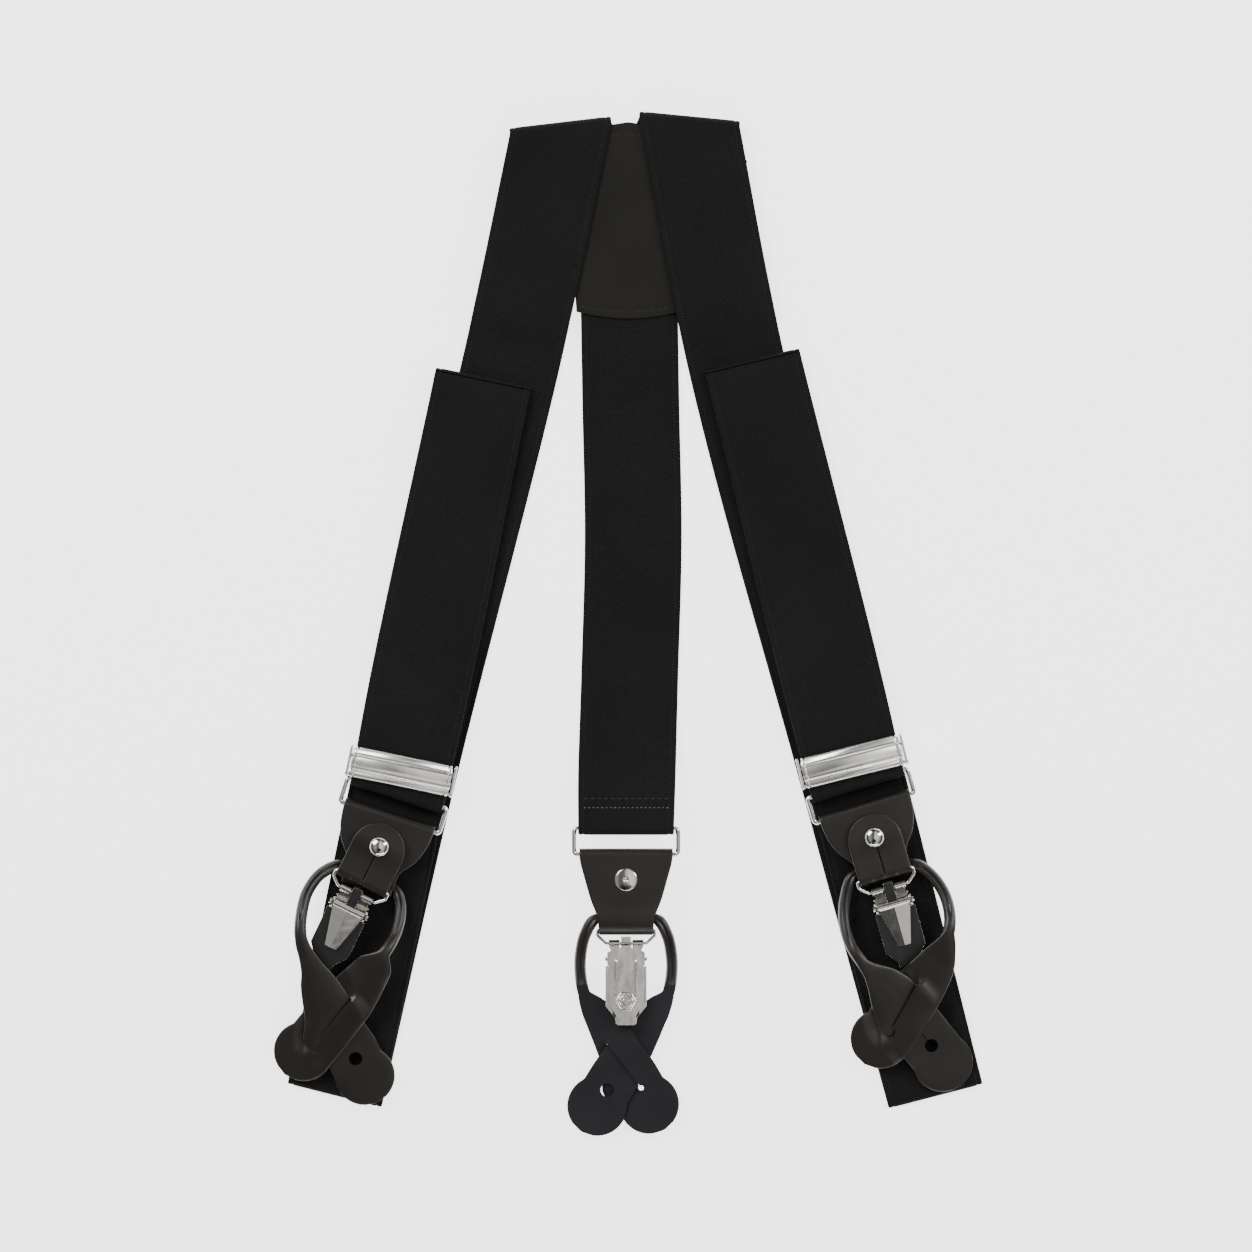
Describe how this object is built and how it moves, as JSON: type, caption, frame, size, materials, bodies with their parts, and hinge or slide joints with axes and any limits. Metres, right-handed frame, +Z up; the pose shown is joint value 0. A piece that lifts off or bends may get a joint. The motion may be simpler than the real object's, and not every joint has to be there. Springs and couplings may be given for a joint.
{
  "type": "suspenders",
  "caption": "Convertible Y-back suspenders in elastic webbing, folded flat, with leather button loops, removable lever clips and slide adjusters.",
  "frame": {"origin": "middle of the bounding box on the surface that the suspenders lie on", "axes": "+Y towards the back patch along the straps, +X to the right seen from above, +Z up"},
  "size_m": [0.2552, 0.369, 0.0163],
  "materials": {
    "patch_leather": "smooth matt, back side",
    "lining_leather": "smooth matt",
    "elastic_webbing": "fine twill weave",
    "smooth_leather": "smooth, low gloss",
    "rolled_leather": "smooth, low gloss",
    "grip_plastic": "matt",
    "adjuster_nickel": "polished",
    "wire_nickel": "polished",
    "stud_nickel": "polished",
    "clip_nickel": "polished"
  },
  "bodies": {
    "root": {"patch_outer": "patch_leather", "patch_lining": "lining_leather", "back_strap": "elastic_webbing", "left_strap": "elastic_webbing", "right_strap": "elastic_webbing"},
    "left_end": {"left_strap_end": "elastic_webbing"},
    "left_adjuster": {"left_adjuster_frame": "adjuster_nickel", "left_adjuster_pins": "adjuster_nickel"},
    "left_cover": {"left_adjuster_cover": "adjuster_nickel"},
    "left_ring_body": {"left_ring": "wire_nickel"},
    "left_yoke_body": {"left_yoke": "smooth_leather", "left_clip_flap": "smooth_leather", "left_stud": "stud_nickel", "left_stud_cap": "stud_nickel"},
    "left_loop": {"left_button_loop": "rolled_leather"},
    "left_bail_body": {"left_bail": "wire_nickel"},
    "left_clip": {"left_clip_back_plate": "clip_nickel", "left_clip_pin": "clip_nickel", "left_clip_pad": "grip_plastic", "left_pad_rivet": "stud_nickel"},
    "left_jaw": {"left_clip_front_jaw": "clip_nickel"},
    "left_lever": {"left_clip_lever": "clip_nickel"},
    "right_end": {"right_strap_end": "elastic_webbing"},
    "right_adjuster": {"right_adjuster_frame": "adjuster_nickel", "right_adjuster_pins": "adjuster_nickel"},
    "right_cover": {"right_adjuster_cover": "adjuster_nickel"},
    "right_ring_body": {"right_ring": "wire_nickel"},
    "right_yoke_body": {"right_yoke": "smooth_leather", "right_clip_flap": "smooth_leather", "right_stud": "stud_nickel", "right_stud_cap": "stud_nickel"},
    "right_loop": {"right_button_loop": "rolled_leather"},
    "right_bail_body": {"right_bail": "wire_nickel"},
    "right_clip": {"right_clip_back_plate": "clip_nickel", "right_clip_pin": "clip_nickel", "right_clip_pad": "grip_plastic", "right_pad_rivet": "stud_nickel"},
    "right_jaw": {"right_clip_front_jaw": "clip_nickel"},
    "right_lever": {"right_clip_lever": "clip_nickel"},
    "back_ring_body": {"back_ring": "wire_nickel"},
    "back_yoke_body": {"back_yoke": "smooth_leather", "back_clip_flap": "smooth_leather", "back_stud": "stud_nickel", "back_stud_cap": "stud_nickel"},
    "back_loop": {"back_button_loop": "rolled_leather"},
    "back_bail_body": {"back_bail": "wire_nickel"},
    "back_clip": {"back_clip_back_plate": "clip_nickel", "back_clip_pin": "clip_nickel", "back_clip_pad": "grip_plastic", "back_pad_rivet": "stud_nickel"},
    "back_jaw": {"back_clip_front_jaw": "clip_nickel"},
    "back_lever": {"back_clip_lever": "clip_nickel"}
  },
  "joints": [
    {"name": "left_strap_adjust", "type": "slide", "parent": "root", "child": "left_end", "axis": [0.2034, 0.9791, 0], "range_m": [0, 0.05], "deforming": ["left_strap_end"]},
    {"name": "left_adjuster_slide", "type": "slide", "parent": "left_end", "child": "left_adjuster", "axis": [0.2034, 0.9791, 0], "range_m": [0, 0.05]},
    {"name": "left_cover_hinge", "type": "hinge", "parent": "left_adjuster", "child": "left_cover", "pos_m": [-0.08241, -0.05797, 0.0097], "axis": [0.9791, -0.2034, 0], "range_deg": [0, 75]},
    {"name": "left_ring_swing", "type": "hinge", "parent": "left_end", "child": "left_ring_body", "pos_m": [-0.08299, -0.06126, 0.0062], "axis": [-0.9511, 0.309, 0], "range_deg": [0, 25]},
    {"name": "left_yoke_swing", "type": "hinge", "parent": "left_ring_body", "child": "left_yoke_body", "pos_m": [-0.0859, -0.0702, 0.0062], "axis": [-0.9511, 0.309, 0], "range_deg": [0, 60]},
    {"name": "left_loop_swing", "type": "hinge", "parent": "left_yoke_body", "child": "left_loop", "pos_m": [-0.09316, -0.09255, 0.0062], "axis": [-0.9511, 0.309, 0], "range_deg": [0, 45]},
    {"name": "left_bail_swing", "type": "hinge", "parent": "left_yoke_body", "child": "left_bail_body", "pos_m": [-0.09538, -0.09305, 0.01035], "axis": [-0.8988, 0.4384, 0], "range_deg": [0, 45]},
    {"name": "left_clip_swing", "type": "hinge", "parent": "left_bail_body", "child": "left_clip", "pos_m": [-0.09754, -0.09749, 0.00957], "axis": [-0.8988, 0.4384, 0], "range_deg": [-18, 0]},
    {"name": "left_lever_open", "type": "hinge", "parent": "left_clip", "child": "left_lever", "pos_m": [-0.10014, -0.10283, 0.01257], "axis": [-0.8988, 0.4384, 0], "range_deg": [0, 100]},
    {"name": "left_jaw_open", "type": "hinge", "parent": "left_clip", "child": "left_jaw", "pos_m": [-0.09754, -0.09749, 0.00957], "axis": [-0.8988, 0.4384, 0], "range_deg": [0, 4]},
    {"name": "right_strap_adjust", "type": "slide", "parent": "root", "child": "right_end", "axis": [-0.2404, 0.9707, 0], "range_m": [0, 0.05], "deforming": ["right_strap_end"]},
    {"name": "right_adjuster_slide", "type": "slide", "parent": "right_end", "child": "right_adjuster", "axis": [-0.2404, 0.9707, 0], "range_m": [0, 0.05]},
    {"name": "right_cover_hinge", "type": "hinge", "parent": "right_adjuster", "child": "right_cover", "pos_m": [0.08158, -0.0545, 0.0097], "axis": [0.9707, 0.2404, 0], "range_deg": [0, 75]},
    {"name": "right_ring_swing", "type": "hinge", "parent": "right_end", "child": "right_ring_body", "pos_m": [0.08245, -0.05781, 0.0062], "axis": [-0.9563, -0.2924, 0], "range_deg": [0, 25]},
    {"name": "right_yoke_swing", "type": "hinge", "parent": "right_ring_body", "child": "right_yoke_body", "pos_m": [0.0852, -0.0668, 0.0062], "axis": [-0.9563, -0.2924, 0], "range_deg": [0, 60]},
    {"name": "right_loop_swing", "type": "hinge", "parent": "right_yoke_body", "child": "right_loop", "pos_m": [0.09207, -0.08927, 0.0062], "axis": [-0.9563, -0.2924, 0], "range_deg": [0, 45]},
    {"name": "right_bail_swing", "type": "hinge", "parent": "right_yoke_body", "child": "right_bail_body", "pos_m": [0.09222, -0.09059, 0.01035], "axis": [-0.9613, -0.2756, 0], "range_deg": [0, 45]},
    {"name": "right_clip_swing", "type": "hinge", "parent": "right_bail_body", "child": "right_clip", "pos_m": [0.09358, -0.09533, 0.00957], "axis": [-0.9613, -0.2756, 0], "range_deg": [-18, 0]},
    {"name": "right_lever_open", "type": "hinge", "parent": "right_clip", "child": "right_lever", "pos_m": [0.09522, -0.10105, 0.01257], "axis": [-0.9613, -0.2756, 0], "range_deg": [0, 100]},
    {"name": "right_jaw_open", "type": "hinge", "parent": "right_clip", "child": "right_jaw", "pos_m": [0.09358, -0.09533, 0.00957], "axis": [-0.9613, -0.2756, 0], "range_deg": [0, 4]},
    {"name": "back_ring_swing", "type": "hinge", "parent": "root", "child": "back_ring_body", "pos_m": [-0.0007, -0.0739, 0.0093], "axis": [-1, 0, 0], "range_deg": [0, 25]},
    {"name": "back_yoke_swing", "type": "hinge", "parent": "back_ring_body", "child": "back_yoke_body", "pos_m": [-0.0007, -0.0833, 0.0093], "axis": [-1, 0, 0], "range_deg": [0, 60]},
    {"name": "back_loop_swing", "type": "hinge", "parent": "back_yoke_body", "child": "back_loop", "pos_m": [-0.0007, -0.1068, 0.0093], "axis": [1, 0, 0], "range_deg": [0, 40]},
    {"name": "back_bail_swing", "type": "hinge", "parent": "back_yoke_body", "child": "back_bail_body", "pos_m": [-0.0007, -0.1105, 0.00515], "axis": [-1, 0, 0], "range_deg": [0, 20]},
    {"name": "back_clip_swing", "type": "hinge", "parent": "back_bail_body", "child": "back_clip", "pos_m": [-0.0007, -0.11547, 0.00567], "axis": [-1, 0, 0], "range_deg": [0, 40]},
    {"name": "back_lever_open", "type": "hinge", "parent": "back_clip", "child": "back_lever", "pos_m": [-0.0007, -0.12125, 0.00236], "axis": [1, 0, 0], "range_deg": [0, 100]},
    {"name": "back_jaw_open", "type": "hinge", "parent": "back_clip", "child": "back_jaw", "pos_m": [-0.0007, -0.11547, 0.00567], "axis": [1, 0, 0], "range_deg": [0, 2.5]}
  ],
  "couplings": [
    {"joint": "left_adjuster_slide", "follows": "left_strap_adjust", "ratio": 1},
    {"joint": "left_bail_swing", "follows": "left_loop_swing", "ratio": 1},
    {"joint": "left_clip_swing", "follows": "left_loop_swing", "ratio": -0.4},
    {"joint": "left_jaw_open", "follows": "left_lever_open", "ratio": 0.04},
    {"joint": "right_adjuster_slide", "follows": "right_strap_adjust", "ratio": 1},
    {"joint": "right_bail_swing", "follows": "right_loop_swing", "ratio": 1},
    {"joint": "right_clip_swing", "follows": "right_loop_swing", "ratio": -0.4},
    {"joint": "right_jaw_open", "follows": "right_lever_open", "ratio": 0.04},
    {"joint": "back_jaw_open", "follows": "back_lever_open", "ratio": 0.025}
  ]
}
